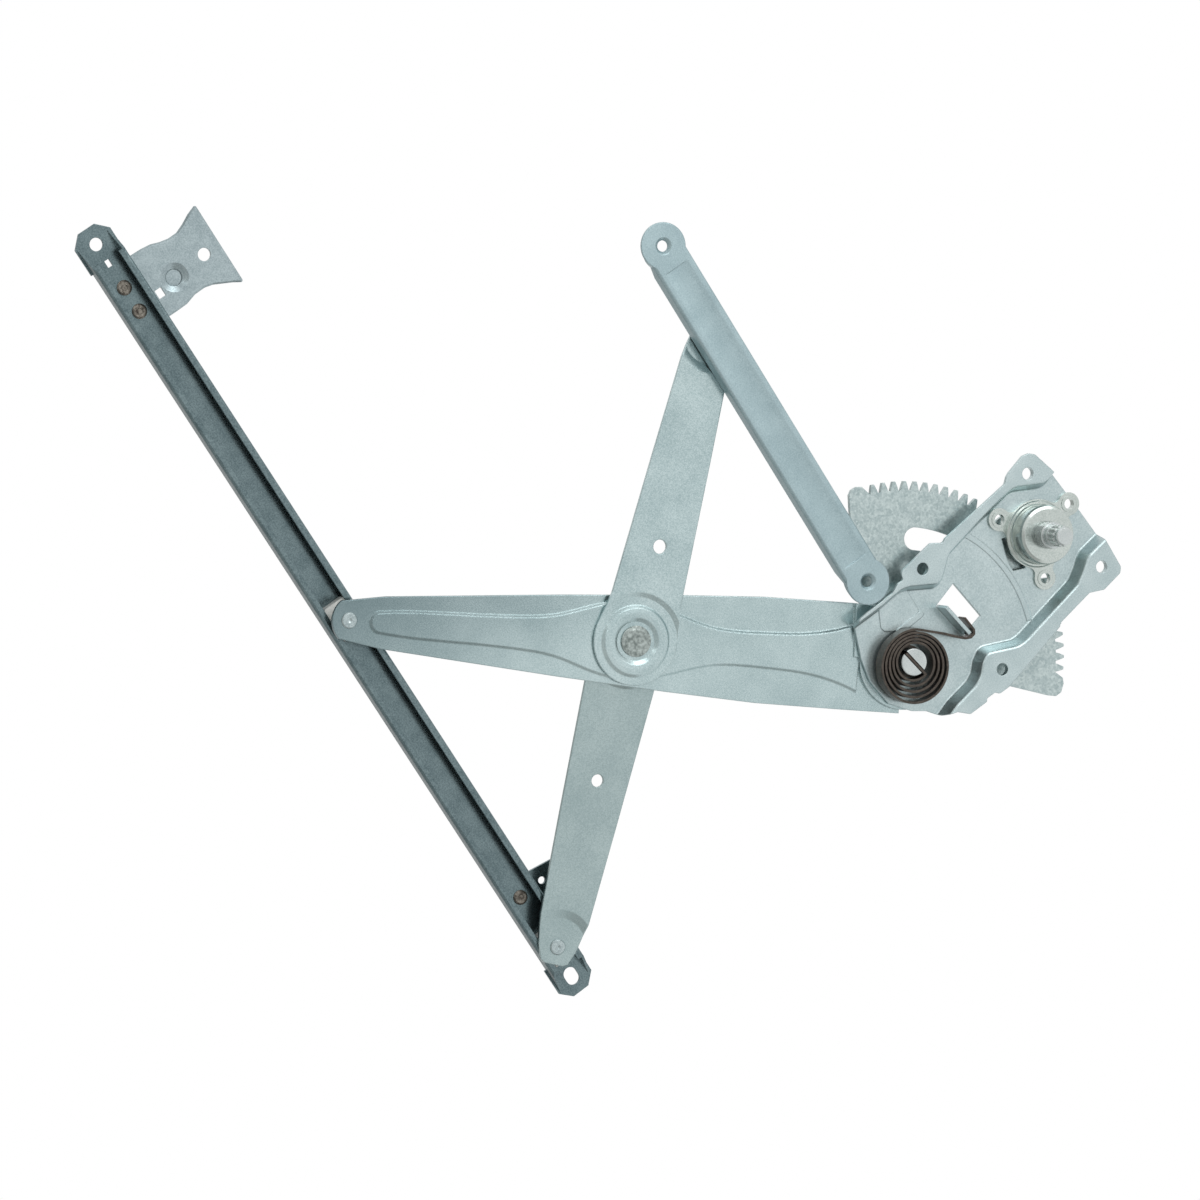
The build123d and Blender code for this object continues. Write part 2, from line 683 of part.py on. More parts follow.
def equalizer(ring_front, main_front, tip_front):
    """Half of the equaliser: ring about the centre pivot, joggled arm and joggled tip."""
    outline = equalizer_outline()
    halfway = equalizer_half / 2
    near_side = (outline & (Pos(halfway / 2, 0) * Rectangle(halfway, 60))) + Circle(ring_radius)
    far_side = outline & (Pos(halfway + 60, 0) * Rectangle(120, 60))
    inner = stepped_sheet(ring_radius, ring_slope, ring_front, main_front, equalizer_sheet,
                          halfway + 30, (0, 0))
    outer = stepped_sheet(tip_flat_radius, tip_slope, tip_front, main_front, equalizer_sheet,
                          halfway + 30, (equalizer_half, 0))
    near = min(ring_front, main_front, tip_front) - 1
    far = max(ring_front, main_front, tip_front) + equalizer_sheet + 1
    body = (inner & slab(near_side, near, far)) + (outer & slab(far_side, near, far))
    return body - disc(pin_shank_radius, (equalizer_half, 0), near, far)


def upper_equalizer_arm():
    body = equalizer(upper_ring_front, upper_front, upper_tip_front)
    front = upper_ring_front
    back = upper_ring_back
    crest = (boss_radius + boss_inner_radius) / 2
    body -= disc(boss_radius, (0, 0), front - 5, back + 5)
    body += turned([
        (pivot_radius, front), (boss_inner_radius - 1, front), (boss_inner_radius + 1, front - boss_raise),
        (crest, front - boss_raise - 0.4), (boss_radius - 1, front - boss_raise),
        (boss_radius + 0.6, front), (boss_radius + 0.6, back), (boss_radius - 2, back - boss_raise),
        (boss_inner_radius + 2, back - boss_raise), (boss_inner_radius, back), (pivot_radius, back)],
        (0, 0))
    body -= disc(upper_arm_hole_radius, (upper_arm_hole, 0), front - 5, back + 5)
    return placed(body, centre_pivot, 180 - equalizer_slope - equalizer_bend)


def lower_equalizer_arm():
    body = equalizer(lower_ring_front, lower_front, lower_tip_front)
    body -= disc(pivot_radius, (0, 0), lower_ring_front - 1, lower_ring_back + 1)
    body -= disc(lower_arm_hole_radius, (lower_arm_hole, 0), lower_front - 1, lower_ring_back + 5)
    return placed(body, centre_pivot, -equalizer_slope)


def centre_pivot_pin():
    head_front = upper_ring_front - pivot_head
    head_back = lower_ring_back + pivot_head
    return turned([
        (0, head_front + 0.6), (pivot_radius, head_front),
        (pivot_head_radius, head_front + 0.5), (pivot_head_radius, upper_ring_front),
        (pivot_radius, upper_ring_front), (pivot_radius, upper_ring_back),
        (pivot_shoulder_radius, upper_ring_back), (pivot_shoulder_radius, lower_ring_front),
        (pivot_radius, lower_ring_front), (pivot_radius, lower_ring_back),
        (pivot_head_radius, lower_ring_back), (pivot_head_radius - 1, head_back),
        (0, head_back)], centre_pivot)


def centre_washer():
    return ring(washer_radius, pivot_shoulder_radius + running_gap, centre_pivot,
                arm_back - panel_raise + 0.1, lower_ring_front - 0.1)


def slider_pin(centre, sheet_front, sheet_back, far_end):
    """Shouldered rivet: flat head on one side of the arm, journal on the side of the shoe."""
    back = far_end > sheet_back
    head_face = sheet_front if back else sheet_back
    seat = sheet_back if back else sheet_front
    out = -1 if back else 1
    points = [(0, head_face + out * (pin_head - 0.4)), (1.4, head_face + out * pin_head),
              (pin_head_radius - 0.6, head_face + out * pin_head), (pin_head_radius, head_face + out * 0.3),
              (pin_head_radius, head_face), (pin_shank_radius, head_face), (pin_shank_radius, seat),
              (pin_radius, seat), (pin_radius, far_end), (0, far_end)]
    return turned(points, centre)


def slider_shoe(centre, mouth, inner_width, lip_face, web_face, arm_face):
    """Nylon block between the lips and the web, with a neck through the mouth to the arm."""
    outward = 1 if web_face > lip_face else -1
    near = lip_face + outward * layer_gap
    far = web_face - outward * layer_gap
    width = inner_width - 2 * shoe_side_gap
    block = RectangleRounded(shoe_length, width, 3.0)
    body = slab(Pos(*centre) * block, min(near, far), max(near, far))
    neck_near = arm_face + outward * shoe_neck
    neck_radius = min(mouth / 2 - shoe_side_gap - 0.2, shoe_length / 2)
    neck = disc(neck_radius, centre, min(neck_near, near), max(neck_near, near))
    bore = disc(pin_radius + running_gap, centre, min(neck_near, far) - 1, max(neck_near, far) + 1)
    return body + neck - bore


def channel_section(width, lip, sheet, front, back):
    """C section in Y and Z, open towards the front."""
    half = width / 2
    outer = [(front, half - lip), (front, half), (back, half), (back, -half), (front, -half),
             (front, lip - half)]
    inner = [(front + sheet, lip - half), (front + sheet, sheet - half), (back - sheet, sheet - half),
             (back - sheet, half - sheet), (front + sheet, half - sheet), (front + sheet, half - lip)]
    face = polygon(outer + inner)
    corners = face.vertices().filter_by(lambda v: abs(abs(v.Y) - half) < 0.01)
    return fillet(corners, section_bend)


def bar(section, start, end, mid):
    """Section drawn as (Y, Z) about its own middle, run along X."""
    plane = Plane(origin=(start, 0, mid), x_dir=(0, 1, 0), z_dir=(1, 0, 0))
    return extrude(plane * section, end - start)


def crosswise(points, mid):
    """Solid drawn in X and Y that runs right across a channel along Z."""
    return Pos(0, 0, mid - channel_width) * extrude(polygon(points), 2 * channel_width)


def glass_channel():
    section = channel_section(channel_width, channel_lip, channel_sheet, channel_front, channel_back)
    run = tongue_length - tongue_chamfer
    body = bar(section, channel_left - run, channel_right + run, channel_mid)
    for side, root in ((-1, channel_left), (1, channel_right)):
        far = root + side * (run + 1)
        body -= crosswise([(root, channel_front - 1), (root + side * run, web_inside),
                           (far, web_inside), (far, channel_front - 1)], channel_mid)
        tongue = Pos(root + side * tongue_length / 2, channel_mid) * Rectangle(
            tongue_length, channel_width + tongue_flare)
        corners = tongue.vertices().sort_by(Axis.X)
        ends = corners[:2] if side < 0 else corners[-2:]
        tongue = chamfer(ends, tongue_chamfer)
        body += slab(tongue, web_inside, channel_back)
    body -= disc(bolt_hole_radius, glass_hole, web_inside - 1, channel_back + 1)
    body -= slab(Pos(*glass_slot) * SlotOverall(slot_length, slot_width), web_inside - 1, channel_back + 1)
    lance = Pos(channel_left - 0.5, channel_mid) * Rectangle(4.0, 2.6)
    body -= slab(lance, web_inside - 1, channel_back + 1)
    for place in upper_rivets + [lower_rivet]:
        body -= disc(rivet_radius, place, web_inside - 1, channel_back + 1)
    return body


def bracket_rivets():
    sheet_back = channel_back + bracket_sheet
    head_front = web_inside - rivet_head
    return [turned([
        (0, head_front + 0.3), (1.3, head_front + 0.3), (1.7, head_front), (3.0, head_front),
        (rivet_head_radius, web_inside - 0.3), (rivet_head_radius, web_inside),
        (rivet_radius, web_inside), (rivet_radius, sheet_back), (3.2, sheet_back),
        (2.6, sheet_back + 0.9), (0, sheet_back + 0.9)], place)
        for place in upper_rivets + [lower_rivet]]


def upper_glass_bracket():
    back = channel_back + bracket_sheet
    left = [(-19.5, -8.5), (-19.5, 12.5), (-19.3, 18.5), (-18.6, 24.3), (-16.9, 29.1), (-15.9, 33.9),
            (-16.0, 39.1), (-17.9, 44.1), (-20.6, 49.4), (-22.7, 55.4)]
    right = [(24.6, 55.2), (21.3, 49.8), (16.6, 40.4), (15.5, 36.0), (15.6, 29.8), (17.3, 23.6),
             (17.5, 16.9), (17.4, -8.5)]
    outline = Pos(bracket_middle, channel_mid) * rounded(left + right, 1.0)
    pressed_back = back + dome_depth
    body = slab(outline, channel_back, back)
    front_edges = body.edges().filter_by(
        lambda edge: abs(edge.center().Y - channel_back) < 0.01).sort_by(Axis.Z)[:-1]
    body = chamfer(front_edges, bracket_edge)
    body += turned([
        (0, channel_back + dome_depth), (dome_floor_radius + 0.8, channel_back + dome_depth),
        (dome_radius + 0.8, channel_back + 0.4), (dome_radius + 0.8, back),
        (dome_floor_radius + 1.6, pressed_back), (0, pressed_back)], upper_bracket_dome)
    body -= turned([
        (0, channel_back - 1), (dome_radius, channel_back - 1), (dome_radius, channel_back),
        (dome_floor_radius, channel_back + dome_depth), (0, channel_back + dome_depth)],
        upper_bracket_dome)
    body -= disc(bolt_hole_radius, upper_bracket_hole, channel_back - 1, back + 1)
    slot = Pos(*upper_bracket_slot) * Rectangle(5.0, 4.0)
    body -= slab(slot, channel_back - 1, back + 5)
    for place in upper_rivets:
        body -= disc(rivet_radius, place, channel_back - 1, back + 1)
    return body


def lower_glass_bracket():
    back = channel_back + bracket_sheet
    left = lower_rivet[0]
    outline = Pos(left, channel_mid) * polygon([
        (-9.2, -8.5), (-8.4, 12.0), (-6.4, 25.6), (1.8, 32.0), (17.8, 32.0), (22.8, 12.5), (22.8, -8.5)])
    body = slab(outline, channel_back, back)
    body -= disc(rivet_radius, lower_bracket_hole, channel_back - 1, back + 1)
    body -= disc(rivet_radius, lower_rivet, channel_back - 1, back + 1)
    return body


def guide_section(sag):
    """C section of the guide, its crown pressed in by the sag."""
    half = guide_width / 2
    valley = guide_valley / 2
    inner_front = guide_front + guide_sheet
    lip_inner = guide_back - guide_sheet
    outer = [(guide_back, half - guide_lip), (guide_back, half), (guide_front, half), (guide_front, valley)]
    inner = [(inner_front, valley), (inner_front, half - guide_sheet), (lip_inner, half - guide_sheet),
             (lip_inner, half - guide_lip), (guide_back, half - guide_lip)]
    outer_low = [(y, -z) for y, z in outer[::-1]]
    inner_low = [(y, -z) for y, z in inner[::-1]]
    if sag:
        outer_dip = ThreePointArc(outer[-1], (guide_front + sag, 0), outer_low[0])
        inner_dip = ThreePointArc(inner_low[-1], (inner_front + sag, 0), inner[0])
    else:
        outer_dip = Line(outer[-1], outer_low[0])
        inner_dip = Line(inner_low[-1], inner[0])
    section = make_face(Curve() + [Polyline(*outer), outer_dip, Polyline(*outer_low),
                                   Polyline(*inner_low), inner_dip, Polyline(*inner)])
    corners = section.vertices().filter_by(
        lambda v: abs(abs(v.Y) - half) < 0.01 and abs(v.X - guide_front) < 0.01)
    return fillet(corners, guide_bend)


def guide_channel():
    body = bar(guide_section(guide_valley_depth), guide_left_hole + guide_valley_start,
               guide_right_hole - guide_valley_start, guide_mid)
    crown_back = guide_front + guide_sheet
    for place, side in zip(guide_holes, (1, -1)):
        neck_start = place[0] + side * guide_neck_start
        neck_end = place[0] + side * guide_valley_start
        body += bar(guide_section(0), min(neck_start, neck_end), max(neck_start, neck_end), guide_mid)
        half_plane = Pos(place[0] + side * guide_end_radius, guide_mid) * Rectangle(
            2 * guide_end_radius, 3 * guide_end_radius)
        rim = Pos(*place) * (Circle(guide_end_radius) - Circle(guide_end_radius - guide_sheet))
        body += slab((rim & half_plane) - (Pos(place[0], guide_mid) * Rectangle(
            4 * guide_end_radius, 2 * (guide_width / 2 - guide_sheet))), guide_front, guide_back)
        far = place[0] - side * 2 * guide_end_radius
        body -= crosswise([(place[0], crown_back), (place[0] + side * guide_end_run, guide_back + 1),
                           (far, guide_back + 1), (far, crown_back)], guide_mid)
        body += disc(guide_end_radius, place, guide_front, crown_back)
        body += disc(guide_dimple_radius, place, guide_front, guide_front + guide_dimple_depth)
        body -= turned([(0, guide_front - 1), (guide_dimple_radius, guide_front - 1),
                        (guide_dimple_radius, guide_front), (guide_hole_radius, guide_front + 1.4),
                        (guide_hole_radius, guide_back), (0, guide_back)], place)
    return body


glass_mouth = channel_width - 2 * channel_lip
guide_mouth = guide_width - 2 * guide_lip
glass_pin_end = web_inside - 2 * layer_gap
guide_pin_end = crown_inside + 2 * layer_gap
parts = {
    "base_plate": base_plate(),
    "crank_housing": crank_housing(),
    "ear_eyelets": Compound(ear_eyelets()),
    "crank_shaft": crank_shaft(),
    "pinion_gear": pinion_gear(),
    "brake_spring": brake_spring(),
    "sector_gear": sector_gear(),
    "sector_pivot": sector_pivot(),
    "pivot_retainer": pivot_retainer(),
    "counterbalance_spring": counterbalance_spring(),
    "lift_arm": lift_arm(),
    "arm_rivets": Compound(arm_rivets()),
    "upper_equalizer_arm": upper_equalizer_arm(),
    "lower_equalizer_arm": lower_equalizer_arm(),
    "centre_pivot_pin": centre_pivot_pin(),
    "centre_washer": centre_washer(),
    "lift_slider_pin": slider_pin(lift_end, arm_front, arm_back, glass_pin_end),
    "lower_slider_pin": slider_pin(lower_end, lower_tip_front, lower_tip_back, glass_pin_end),
    "upper_slider_pin": slider_pin(upper_end, upper_tip_front, upper_tip_back, guide_pin_end),
    "lift_slider_shoe": slider_shoe(lift_end, glass_mouth, channel_inner, lip_inside, web_inside,
                                    arm_back),
    "lower_slider_shoe": slider_shoe(lower_end, glass_mouth, channel_inner, lip_inside, web_inside,
                                     lower_tip_back),
    "upper_slider_shoe": slider_shoe(upper_end, guide_mouth, guide_inner, guide_lip_inside,
                                     crown_inside, upper_tip_front),
    "glass_channel": glass_channel(),
    "bracket_rivets": Compound(bracket_rivets()),
    "upper_glass_bracket": upper_glass_bracket(),
    "lower_glass_bracket": lower_glass_bracket(),
    "guide_channel": guide_channel(),
}

for name, shape in parts.items():
    export_step(shape, f"parts/{name}.step")
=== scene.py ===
import bpy
import math
from mathutils import Matrix, Vector


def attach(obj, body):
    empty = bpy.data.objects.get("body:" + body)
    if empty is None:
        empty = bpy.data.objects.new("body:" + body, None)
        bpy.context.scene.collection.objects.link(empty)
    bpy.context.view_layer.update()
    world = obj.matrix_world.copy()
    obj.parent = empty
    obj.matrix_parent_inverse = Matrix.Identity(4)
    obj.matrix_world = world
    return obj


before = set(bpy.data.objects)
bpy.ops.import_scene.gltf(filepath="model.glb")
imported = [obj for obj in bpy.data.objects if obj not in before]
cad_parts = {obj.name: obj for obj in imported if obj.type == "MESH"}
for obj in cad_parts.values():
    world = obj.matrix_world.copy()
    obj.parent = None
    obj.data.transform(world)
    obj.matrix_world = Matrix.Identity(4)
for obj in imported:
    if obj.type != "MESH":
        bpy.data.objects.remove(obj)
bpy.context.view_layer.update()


def linear(colour):
    """Turns an sRGB hex colour into the linear one that the shaders work in."""
    parts = [int(colour[i:i + 2], 16) / 255 for i in (1, 3, 5)]
    return tuple(c / 12.92 if c <= 0.04045 else ((c + 0.055) / 1.055) ** 2.4 for c in parts) + (1,)


def add_node(tree, kind, settings=None, links=None):
    """Adds one node, sets its options and socket values, and links its inputs."""
    made = tree.nodes.new(kind)
    for name, value in (settings or {}).items():
        if hasattr(made, name):
            setattr(made, name, value)
        else:
            made.inputs[name].default_value = value
    for name, source in (links or {}).items():
        tree.links.new(source, made.inputs[name])
    return made


# Node scales are per metre, and the sizes of grain, clouding and crystals are given in millimetres
PER_MM = 1000
SPANGLE_MM = 1.5
RELIEF_DEPTH = 0.0002
GRAIN_SHARE = 0.65
ROUGHNESS_SPREAD = 0.05
DARK_STOP, LIGHT_STOP = 0.36, 0.64
# Grey that the painted shade darkens the tone towards
PAINTED_SHADE_GREY = "#74838A"
# Sockets of a Mix node set to colours, where the names A, B and Result stand for several sockets each
COLOUR_A, COLOUR_B, COLOUR_RESULT = 6, 7, 2


def sheet_metal(name, light, dark, metallic, roughness, grain=0.7, mottle=16.0, bump=0.05,
                stretch=(1, 1, 1), spangle=0.0, edge=0.35, painted_shade_span=None):
    """Plated or galvanised steel: fine grain over broader clouding, and edges rounded by pressing.

    The real grain is finer than 0.1 mm. It is drawn several times coarser, so that it shows.
    The last argument gives two places along x, between which the tone goes over to a darker grey, and how
    far: painted shade that stands in for a dark reflection.
    """
    material = bpy.data.materials.new(name)
    material.use_nodes = True
    tree = material.node_tree
    shader = tree.nodes["Principled BSDF"]
    shader.inputs["Metallic"].default_value = metallic
    place = add_node(tree, "ShaderNodeTexCoord")
    mapping = add_node(tree, "ShaderNodeMapping", {"Scale": stretch}, {"Vector": place.outputs["Object"]})
    clouds = add_node(tree, "ShaderNodeTexNoise", {"Scale": PER_MM / mottle, "Detail": 3.0},
                      {"Vector": place.outputs["Object"]})
    fine = add_node(tree, "ShaderNodeTexNoise", {"Scale": PER_MM / grain, "Detail": 2.0},
                    {"Vector": mapping.outputs["Vector"]})
    both = add_node(tree, "ShaderNodeMix", {"data_type": "FLOAT", "Factor": GRAIN_SHARE},
                    {"A": clouds.outputs["Fac"], "B": fine.outputs["Fac"]})
    crystals = add_node(tree, "ShaderNodeTexVoronoi", {"Scale": PER_MM / SPANGLE_MM},
                        {"Vector": place.outputs["Object"]})
    shown = add_node(tree, "ShaderNodeMix", {"data_type": "FLOAT", "Factor": spangle},
                     {"A": both.outputs["Result"], "B": crystals.outputs["Color"]})
    ramp = add_node(tree, "ShaderNodeValToRGB", links={"Fac": shown.outputs["Result"]})
    for stop, position, colour in zip(ramp.color_ramp.elements, (DARK_STOP, LIGHT_STOP), (dark, light)):
        stop.position = position
        stop.color = linear(colour)
    rough = add_node(tree, "ShaderNodeMapRange",
                     {"To Min": roughness - ROUGHNESS_SPREAD, "To Max": roughness + ROUGHNESS_SPREAD},
                     {"Value": shown.outputs["Result"]})
    rounded = add_node(tree, "ShaderNodeBevel", {"Radius": edge / PER_MM})
    relief = add_node(tree, "ShaderNodeBump", {"Strength": bump, "Distance": RELIEF_DEPTH},
                      {"Height": fine.outputs["Fac"], "Normal": rounded.outputs["Normal"]})
    tone = ramp.outputs["Color"]
    # Painted shade: between two places along x, the tone is multiplied towards a darker grey, standing in
    # for a dark reflection
    if painted_shade_span:
        bright_end, shaded_end, most = painted_shade_span
        split = add_node(tree, "ShaderNodeSeparateXYZ", links={"Vector": place.outputs["Object"]})
        share = add_node(tree, "ShaderNodeMapRange",
                         {"From Min": bright_end, "From Max": shaded_end, "To Max": most},
                         {"Value": split.outputs["X"]})
        painted_shade_mix = add_node(tree, "ShaderNodeMix", {"data_type": "RGBA", "blend_type": "MULTIPLY"},
                        {"Factor": share.outputs["Result"]})
        tree.links.new(tone, painted_shade_mix.inputs[COLOUR_A])
        painted_shade_mix.inputs[COLOUR_B].default_value = linear(PAINTED_SHADE_GREY)
        tone = painted_shade_mix.outputs[COLOUR_RESULT]
    tree.links.new(tone, shader.inputs["Base Color"])
    tree.links.new(rough.outputs["Result"], shader.inputs["Roughness"])
    tree.links.new(relief.outputs["Normal"], shader.inputs["Normal"])
    return material


# Cold-rolled steel, pressed and zinc plated, clear with a blue cast: an even satin sheen.
# The corner webs have no rounded edge, because they carry on the sheets beside them.
bright_plating = dict(light="#BFD0D1", dark="#9DB1B3", metallic=0.92, roughness=0.24,
                      grain=0.6, mottle=24.0, bump=0.11)
zinc_plated_sheet = sheet_metal("zinc_plated_sheet", edge=0.9, **bright_plating)
zinc_plated_web = sheet_metal("zinc_plated_web", edge=0.0, **bright_plating)
zinc_plated_plate = sheet_metal("zinc_plated_plate", "#C2D0D1", "#A6B7B9", 0.9, 0.3,
                                grain=0.7, bump=0.12, edge=0.8)
zinc_plated_guide = sheet_metal("zinc_plated_guide", "#AABEC2", "#93A8AD", 0.88, 0.34, bump=0.09, edge=0.9)
# The same plating where the photographed sheet mirrors something dark. The darker tone stands in for that:
# along the lift arm towards its far end, and all over the equaliser's lower half.
PANEL_X, FAR_END_X = -0.10, -0.235
# The lift arm's plating, with painted shade towards its far end
zinc_plated_lift_painted_shade = sheet_metal("zinc_plated_lift_painted_shade", edge=0.9, painted_shade_span=(PANEL_X, FAR_END_X, 0.95),
                               **bright_plating)
# A darker copy of the same plating: painted shade over the equaliser's lower half and its corner webs
painted_shade_plating = dict(bright_plating, light="#ABBBBB", dark="#92A4A5")
zinc_plated_painted_shade_lower = sheet_metal("zinc_plated_painted_shade_lower", edge=0.9, **painted_shade_plating)
zinc_plated_painted_shade_lower_web = sheet_metal("zinc_plated_painted_shade_lower_web", edge=0.0, **painted_shade_plating)
# Deep-drawn steel, zinc plated: yellower and glossier, which shows as light rings and dark flanks
zinc_plated_drum = sheet_metal("zinc_plated_drum", "#C8D0CC", "#B4BDB9", 0.97, 0.2, bump=0.02)
# Headed steel pins and rivets, plated after heading: slightly darker in patches
zinc_plated_fixings = sheet_metal("zinc_plated_fixings", "#B9C6C7", "#97A5A7", 0.92, 0.26, mottle=4.0)
# Galvanised strip, roll-formed: a dull dark grey with a coarse grain. The dark grey is partly grime on the
# strip and partly painted shade, the dimness inside the channel put into its colour
galvanised_strip_grime_and_painted_shade = sheet_metal("galvanised_strip_grime_and_painted_shade", "#7A8B8E", "#58696D", 0.92, 0.24,
                                    grain=0.8, mottle=9.0, bump=0.14)
# Zinc plated steel, blanked and bent: paler than the strip and clouded
zinc_plated_bracket = sheet_metal("zinc_plated_bracket", "#A9B7BA", "#8C9B9F", 0.88, 0.3,
                                  mottle=7.0, bump=0.1)
# Hot-dip galvanised sheet, blanked: faint crystals of spangle
galvanised_sector = sheet_metal("galvanised_sector", "#C2CFCE", "#9FAFB0", 0.86, 0.32,
                                grain=1.0, mottle=5.0, bump=0.08, spangle=0.25)
# Steel turned and knurled from bar: bright and nearly plain
turned_steel = sheet_metal("turned_steel", "#CAD0CF", "#B4BCBC", 0.95, 0.2, grain=0.4, mottle=6.0, bump=0.02)
# Steel pin hammered over in the ring: scarred, and dark in its dents
peened_steel = sheet_metal("peened_steel", "#B0BAB7", "#727C79", 0.95, 0.2, grain=1.6, mottle=3.0, bump=0.6)
# Steel rivet heads left bare: stained brown and rough
weathered_rivets = sheet_metal("weathered_rivets", "#9A958B", "#514B44", 0.7, 0.42,
                               grain=1.1, mottle=2.0, bump=0.7)
# Spring strip hardened and tempered in oil: brown-black
oil_tempered_strip = sheet_metal("oil_tempered_strip", "#5A534C", "#3E3934", 0.7, 0.36,
                                 mottle=3.0, stretch=(1, 0.1, 1))
# Natural nylon, injection moulded: milky white with a soft gloss
moulded_nylon = sheet_metal("moulded_nylon", "#E6E8E4", "#DCDEDA", 0.0, 0.4, mottle=3.0)

finishes = {
    "base_plate": zinc_plated_plate,
    "crank_housing": zinc_plated_drum,
    "ear_eyelets": zinc_plated_drum,
    "crank_shaft": turned_steel,
    "pinion_gear": turned_steel,
    "brake_spring": oil_tempered_strip,
    "sector_gear": galvanised_sector,
    "sector_pivot": turned_steel,
    "pivot_retainer": oil_tempered_strip,
    "counterbalance_spring": oil_tempered_strip,
    "lift_arm": zinc_plated_lift_painted_shade,
    "arm_rivets": zinc_plated_fixings,
    "upper_equalizer_arm": zinc_plated_sheet,
    "lower_equalizer_arm": zinc_plated_painted_shade_lower,
    "centre_pivot_pin": peened_steel,
    "centre_washer": zinc_plated_fixings,
    "lift_slider_pin": zinc_plated_fixings,
    "lower_slider_pin": zinc_plated_fixings,
    "upper_slider_pin": zinc_plated_fixings,
    "lift_slider_shoe": moulded_nylon,
    "lower_slider_shoe": moulded_nylon,
    "upper_slider_shoe": moulded_nylon,
    "glass_channel": galvanised_strip_grime_and_painted_shade,
    "bracket_rivets": weathered_rivets,
    "upper_glass_bracket": zinc_plated_bracket,
    "lower_glass_bracket": galvanised_strip_grime_and_painted_shade,
    "guide_channel": zinc_plated_guide,
}
for name, material in finishes.items():
    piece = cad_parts[name]
    piece.data.materials.clear()
    piece.data.materials.append(material)

# The equaliser's ring and arms, as in the part's source
CENTRE_PIVOT_X, CENTRE_PIVOT_Z = -0.0858122, -0.2268996
RING_RADIUS = 0.0237
RING_SLOPE = 0.0026
SHEET = 0.0018
ARM_HALF_WIDTH = 0.020
ARM_END = RING_RADIUS - 0.0017
# How far the webs reach under their neighbours, stand proud of the sheet, and are drawn before trimming
LAP = 0.0012
TUCK = 0.12
PROUD = 0.00003
WEB_BLANK_RADIUS = 0.034
CIRCLE_STEPS = 144
MERGE_DISTANCE = 0.000001


def corner_web(name, bearing, side, ring_front, arm_front, finish):
    """Corner of sheet where the equaliser's flank runs straight on from the arm to touch the ring."""
    touch = (math.atan2(ARM_HALF_WIDTH, ARM_END)
             + math.acos(RING_RADIUS / math.hypot(ARM_END, ARM_HALF_WIDTH)))
    first = math.acos(ARM_END / RING_RADIUS) - TUCK
    along = Vector((math.cos(bearing), 0, math.sin(bearing)))
    across = side * Vector((-math.sin(bearing), 0, math.cos(bearing)))
    pivot = Vector((CENTRE_PIVOT_X, ring_front - PROUD, CENTRE_PIVOT_Z))

    bpy.ops.object.select_all(action="DESELECT")
    bpy.ops.mesh.primitive_circle_add(vertices=CIRCLE_STEPS, radius=RING_RADIUS - LAP, fill_type="NOTHING",
                                      location=pivot, rotation=(math.pi / 2, 0, 0))
    piece = bpy.context.active_object
    piece.name = name
    bpy.ops.object.transform_apply(location=True, rotation=True, scale=True)
    bpy.ops.object.mode_set(mode="EDIT")
    bpy.ops.mesh.select_all(action="SELECT")
    # The ring's flat edge, the slope down to the arm's level, then the arm's flat
    radius = RING_RADIUS - LAP
    for wider, drop in ((RING_RADIUS, 0), (RING_RADIUS + RING_SLOPE, arm_front - ring_front),
                        (WEB_BLANK_RADIUS, 0)):
        bpy.ops.mesh.extrude_region_move(TRANSFORM_OT_translate={"value": (0, drop, 0)})
        bpy.ops.transform.resize(value=(wider / radius, 1, wider / radius), center_override=pivot)
        radius = wider
    # Trimmed to the corner between the arm's end, the flank and the ring
    flank = along * math.cos(touch) + across * math.sin(touch)
    trims = ((pivot + along * (ARM_END + LAP), along),
             (pivot + flank * RING_RADIUS, flank),
             (pivot, across * math.cos(touch) - along * math.sin(touch)),
             (pivot, along * math.sin(first) - across * math.cos(first)))
    for place, outward in trims:
        bpy.ops.mesh.select_all(action="SELECT")
        bpy.ops.mesh.bisect(plane_co=place, plane_no=outward, clear_outer=True)
    # Given the sheet's thickness
    bpy.ops.mesh.select_all(action="SELECT")
    bpy.ops.mesh.extrude_region_move(TRANSFORM_OT_translate={"value": (0, SHEET + 2 * PROUD, 0)})
    bpy.ops.mesh.select_all(action="SELECT")
    bpy.ops.mesh.remove_doubles(threshold=MERGE_DISTANCE)
    bpy.ops.mesh.normals_make_consistent(inside=False)
    bpy.ops.object.mode_set(mode="OBJECT")
    piece.data.materials.append(finish)
    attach(piece, "equalizer")


upper_bearing = math.radians(131.57922)
lower_bearing = math.radians(-47.62078)
for side, hand in ((1, "a"), (-1, "b")):
    corner_web("upper_corner_web_" + hand, upper_bearing, side,
               ring_front=0.0092, arm_front=0.0081, finish=zinc_plated_web)
    corner_web("lower_corner_web_" + hand, lower_bearing, side,
               ring_front=0.0150, arm_front=0.0171, finish=zinc_plated_painted_shade_lower_web)

# Camera: the place and turn that were solved from the photograph
right = Vector((0.5170, -0.3504, 0.7810))
up = Vector((-0.8208, 0.0561, 0.5685))
back = Vector((-0.2431, -0.9349, -0.2586))
camera_place = Vector((-0.6410, -2.0111, -0.7903))
lens = bpy.data.cameras.new("photo_camera")
lens.sensor_width = 36
lens.lens = 122.2
lens.clip_end = 20
camera = bpy.data.objects.new("photo_camera", lens)
bpy.context.scene.collection.objects.link(camera)
facing = Matrix((right, up, back)).transposed().to_4x4()
camera.matrix_world = Matrix.Translation(camera_place) @ facing
bpy.context.scene.camera = camera

# The lamps aim at the object's middle
middle = Vector((-0.19, 0.01, -0.17))


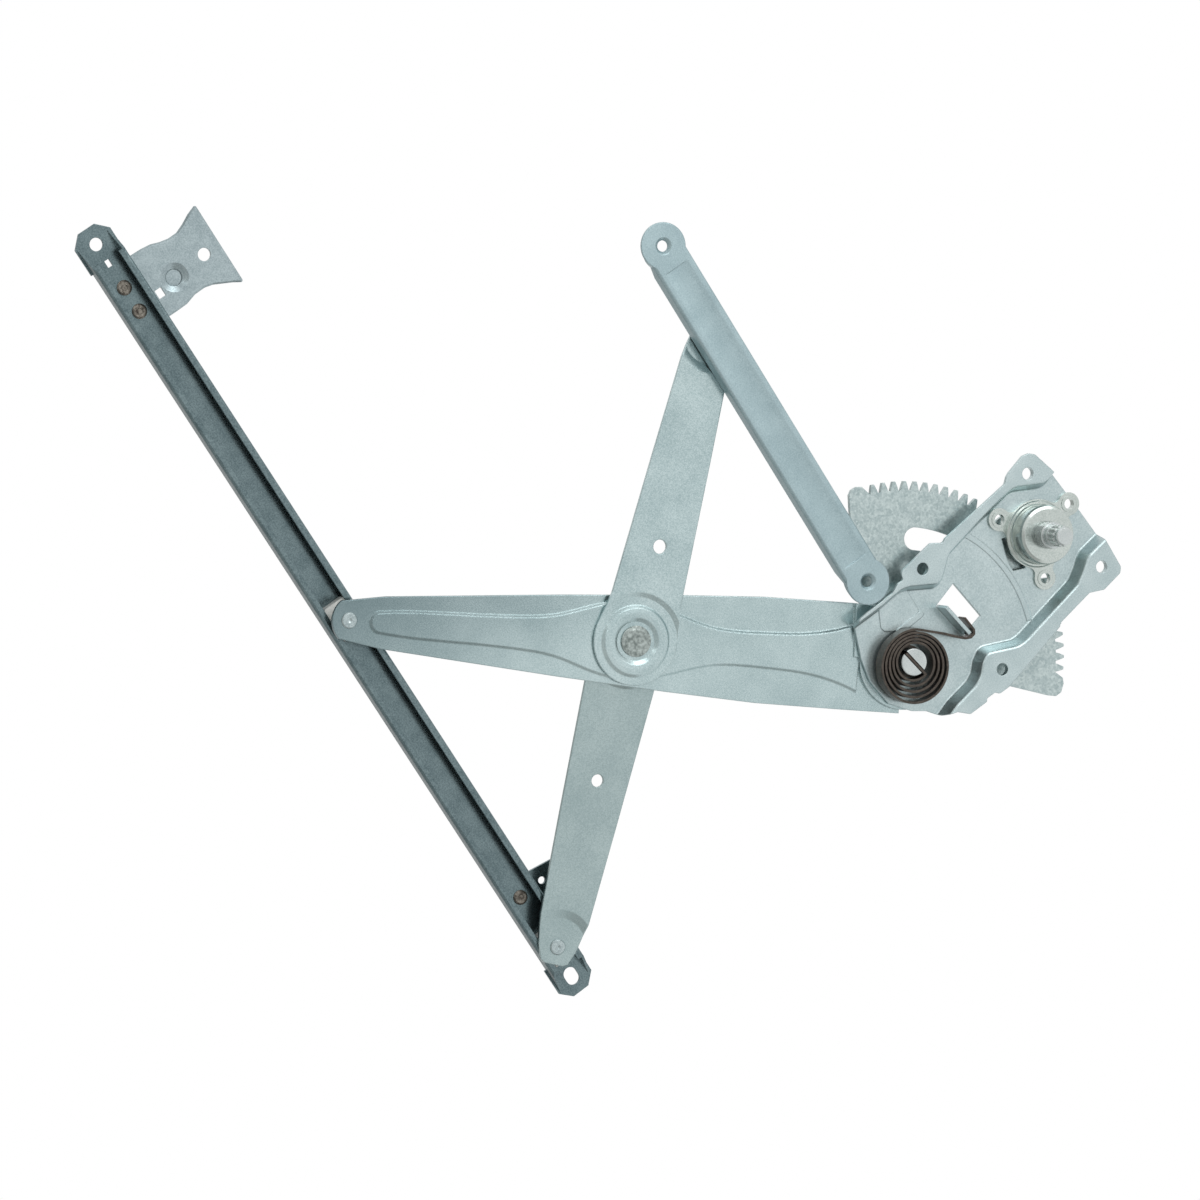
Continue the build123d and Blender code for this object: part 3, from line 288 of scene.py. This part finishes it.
def soft_lamp(name, toward, distance, size, power):
    """Square area lamp, placed from the object's middle and aimed back at it."""
    data = bpy.data.lights.new(name, "AREA")
    data.shape = "SQUARE"
    data.size = size
    data.energy = power
    lamp = bpy.data.objects.new(name, data)
    bpy.context.scene.collection.objects.link(lamp)
    toward = toward.normalized()
    lamp.location = middle + toward * distance
    lamp.rotation_euler = toward.to_track_quat("Z", "Y").to_euler()


soft_lamp("key_softbox", up * 0.9 + right * 0.75 + back * 0.9, distance=2.0, size=1.4, power=16)
soft_lamp("fill_softbox", back * 1.0 - right * 0.5 + up * 0.1, distance=2.2, size=1.6, power=12)

# Floor: plain pale paper, below the object
FLOOR_Z = -0.95
bpy.ops.object.select_all(action="DESELECT")
bpy.ops.mesh.primitive_plane_add(size=8, location=(middle.x, middle.y, FLOOR_Z))
floor = bpy.context.active_object
floor.name = "studio_floor"
paper = bpy.data.materials.new("pale_paper_floor")
paper.use_nodes = True
paper.node_tree.nodes["Principled BSDF"].inputs["Base Color"].default_value = linear("#EDEDEB")
paper.node_tree.nodes["Principled BSDF"].inputs["Roughness"].default_value = 0.9
floor.data.materials.append(paper)

# World: plain white where the camera or a reflection looks past the object, softer as a light
WHITE = (1, 1, 1, 1)
world = bpy.data.worlds.new("studio_world")
bpy.context.scene.world = world
world.use_nodes = True
tree = world.node_tree
tree.nodes.clear()
path = add_node(tree, "ShaderNodeLightPath")
mirrored = add_node(tree, "ShaderNodeMath", {"operation": "MAXIMUM"})
tree.links.new(path.outputs["Is Glossy Ray"], mirrored.inputs[0])
tree.links.new(path.outputs["Is Transmission Ray"], mirrored.inputs[1])
seen = add_node(tree, "ShaderNodeMath", {"operation": "MAXIMUM"})
tree.links.new(path.outputs["Is Camera Ray"], seen.inputs[0])
tree.links.new(mirrored.outputs["Value"], seen.inputs[1])
plain = add_node(tree, "ShaderNodeBackground", {"Color": WHITE, "Strength": 1.0})
light = add_node(tree, "ShaderNodeBackground", {"Color": WHITE, "Strength": 0.55})
chosen = add_node(tree, "ShaderNodeMixShader")
tree.links.new(seen.outputs["Value"], chosen.inputs[0])
tree.links.new(light.outputs["Background"], chosen.inputs[1])
tree.links.new(plain.outputs["Background"], chosen.inputs[2])
add_node(tree, "ShaderNodeOutputWorld", links={"Surface": chosen.outputs["Shader"]})

bpy.context.scene.view_settings.view_transform = "Standard"
